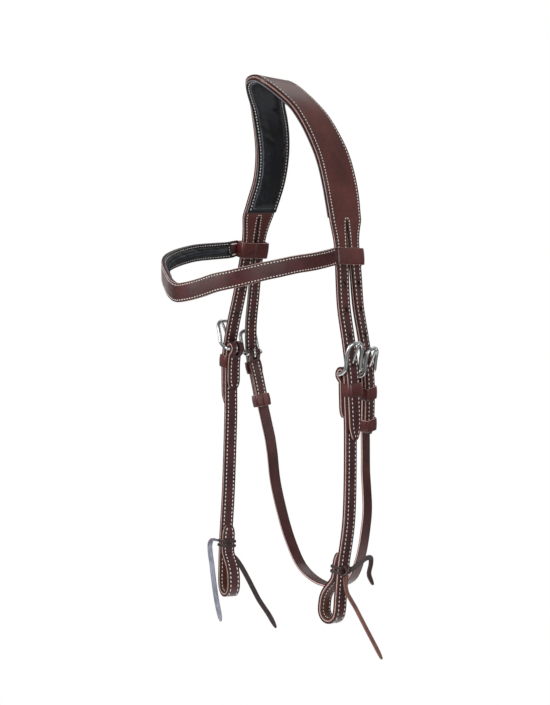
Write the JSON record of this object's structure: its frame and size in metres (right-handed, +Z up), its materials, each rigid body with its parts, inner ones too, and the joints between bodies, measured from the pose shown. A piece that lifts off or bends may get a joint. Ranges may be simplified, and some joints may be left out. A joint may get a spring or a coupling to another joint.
{
  "type": "bridle headstall",
  "caption": "Horse headstall with a padded crown, browband, buckled cheeks with tied bit loops and a buckled throatlatch.",
  "frame": {"origin": "the poll: under the middle of the crown's pad, where the headstall hangs", "axes": "+Z up, +X towards the horse's left, -Y towards its nose"},
  "size_m": [0.2366, 0.1846, 0.5692],
  "materials": {
    "leather": "waxed chestnut grain",
    "loop": "glazed red-brown grain",
    "lining": "soft black satin",
    "foam": "open foam",
    "thong": "dark oiled",
    "steel": "polished"
  },
  "bodies": {
    "crown": {"crown_outer": "leather", "crown_backing": "leather", "crown_pad_cover": "lining", "crown_pad_core": "foam"},
    "browband": {"browband_face": "leather", "browband_lining": "lining", "browband_core": "foam", "browband_loop_left": "loop", "browband_loop_right": "loop"},
    "left_cheek": {"left_cheek_billet_outer": "leather", "left_cheek_billet_inner": "leather", "left_cheek_outer": "leather", "left_cheek_inner": "leather", "left_cheek_keeper": "loop", "left_tie_knot": "thong", "left_tie_long_tail": "thong", "left_tie_short_tail": "thong"},
    "left_cheek_buckle": {"left_cheek_buckle": "steel"},
    "left_cheek_tongue": {"left_cheek_tongue": "steel"},
    "right_cheek": {"right_cheek_billet_outer": "leather", "right_cheek_billet_inner": "leather", "right_cheek_outer": "leather", "right_cheek_inner": "leather", "right_cheek_keeper": "loop", "right_tie_knot": "thong", "right_tie_long_tail": "thong", "right_tie_short_tail": "thong"},
    "right_cheek_buckle": {"right_cheek_buckle": "steel"},
    "right_cheek_tongue": {"right_cheek_tongue": "steel"},
    "throatlatch": {"throatlatch_strap": "leather", "left_throat_billet_outer": "leather", "left_throat_billet_inner": "leather", "left_throat_keeper_upper": "loop", "right_throat_billet_outer": "leather", "right_throat_billet_inner": "leather", "right_throat_keeper_upper": "loop"},
    "left_throat_buckle": {"left_throat_buckle": "steel"},
    "left_throat_tongue": {"left_throat_tongue": "steel"},
    "left_running_keeper": {"left_throat_keeper_lower": "loop"},
    "right_throat_buckle": {"right_throat_buckle": "steel"},
    "right_throat_tongue": {"right_throat_tongue": "steel"},
    "right_running_keeper": {"right_throat_keeper_lower": "loop"}
  },
  "joints": [
    {"name": "browband_slide", "type": "slide", "parent": "crown", "child": "browband", "axis": [0, 0, 1], "range_m": [-0.004, 0.004]},
    {"name": "left_cheek_swing", "type": "hinge", "parent": "crown", "child": "left_cheek", "pos_m": [0.0989, 0.0202, -0.24086], "axis": [0.041, -0.9982, 0.0434], "range_deg": [-8, 15]},
    {"name": "left_cheek_buckle_rock", "type": "hinge", "parent": "left_cheek", "child": "left_cheek_buckle", "pos_m": [0.09495, 0.01911, -0.27056], "axis": [-0.0501, 0.9987, -0.0131], "range_deg": [-6, 0]},
    {"name": "left_cheek_tongue_lift", "type": "hinge", "parent": "left_cheek", "child": "left_cheek_tongue", "pos_m": [0.09495, 0.01911, -0.27056], "axis": [-0.0501, 0.9987, -0.0131], "range_deg": [0, 1.5]},
    {"name": "right_cheek_swing", "type": "hinge", "parent": "crown", "child": "right_cheek", "pos_m": [-0.09592, 0.02057, -0.23048], "axis": [0.0332, 0.9981, -0.0514], "range_deg": [-8, 15]},
    {"name": "right_cheek_buckle_rock", "type": "hinge", "parent": "right_cheek", "child": "right_cheek_buckle", "pos_m": [-0.09295, 0.01925, -0.26054], "axis": [-0.0445, -0.9987, 0.0268], "range_deg": [-6, 0]},
    {"name": "right_cheek_tongue_lift", "type": "hinge", "parent": "right_cheek", "child": "right_cheek_tongue", "pos_m": [-0.09295, 0.01925, -0.26054], "axis": [-0.0445, -0.9987, 0.0268], "range_deg": [0, 1.5]},
    {"name": "throatlatch_swing", "type": "hinge", "parent": "crown", "child": "throatlatch", "pos_m": [0.0005, 0.04078, -0.24182], "axis": [0.9995, 0.0028, -0.0329], "range_deg": [-4, 8]},
    {"name": "left_throat_buckle_rock", "type": "hinge", "parent": "throatlatch", "child": "left_throat_buckle", "pos_m": [0.09103, 0.04218, -0.27231], "axis": [-0.2563, 0.9558, 0.144], "range_deg": [-6, 0]},
    {"name": "left_throat_tongue_lift", "type": "hinge", "parent": "throatlatch", "child": "left_throat_tongue", "pos_m": [0.09103, 0.04218, -0.27231], "axis": [-0.2563, 0.9558, 0.144], "range_deg": [0, 1.5]},
    {"name": "left_keeper_slide", "type": "slide", "parent": "throatlatch", "child": "left_running_keeper", "axis": [0.1692, -0.127, 0.9774], "range_m": [-0.001, 0.006]},
    {"name": "right_throat_buckle_rock", "type": "hinge", "parent": "throatlatch", "child": "right_throat_buckle", "pos_m": [-0.091, 0.04136, -0.26638], "axis": [-0.2656, -0.9579, -0.109], "range_deg": [-6, 0]},
    {"name": "right_throat_tongue_lift", "type": "hinge", "parent": "throatlatch", "child": "right_throat_tongue", "pos_m": [-0.091, 0.04136, -0.26638], "axis": [-0.2656, -0.9579, -0.109], "range_deg": [0, 1.5]},
    {"name": "right_keeper_slide", "type": "slide", "parent": "throatlatch", "child": "right_running_keeper", "axis": [-0.1745, -0.1118, 0.9783], "range_m": [-0.001, 0.006]}
  ]
}
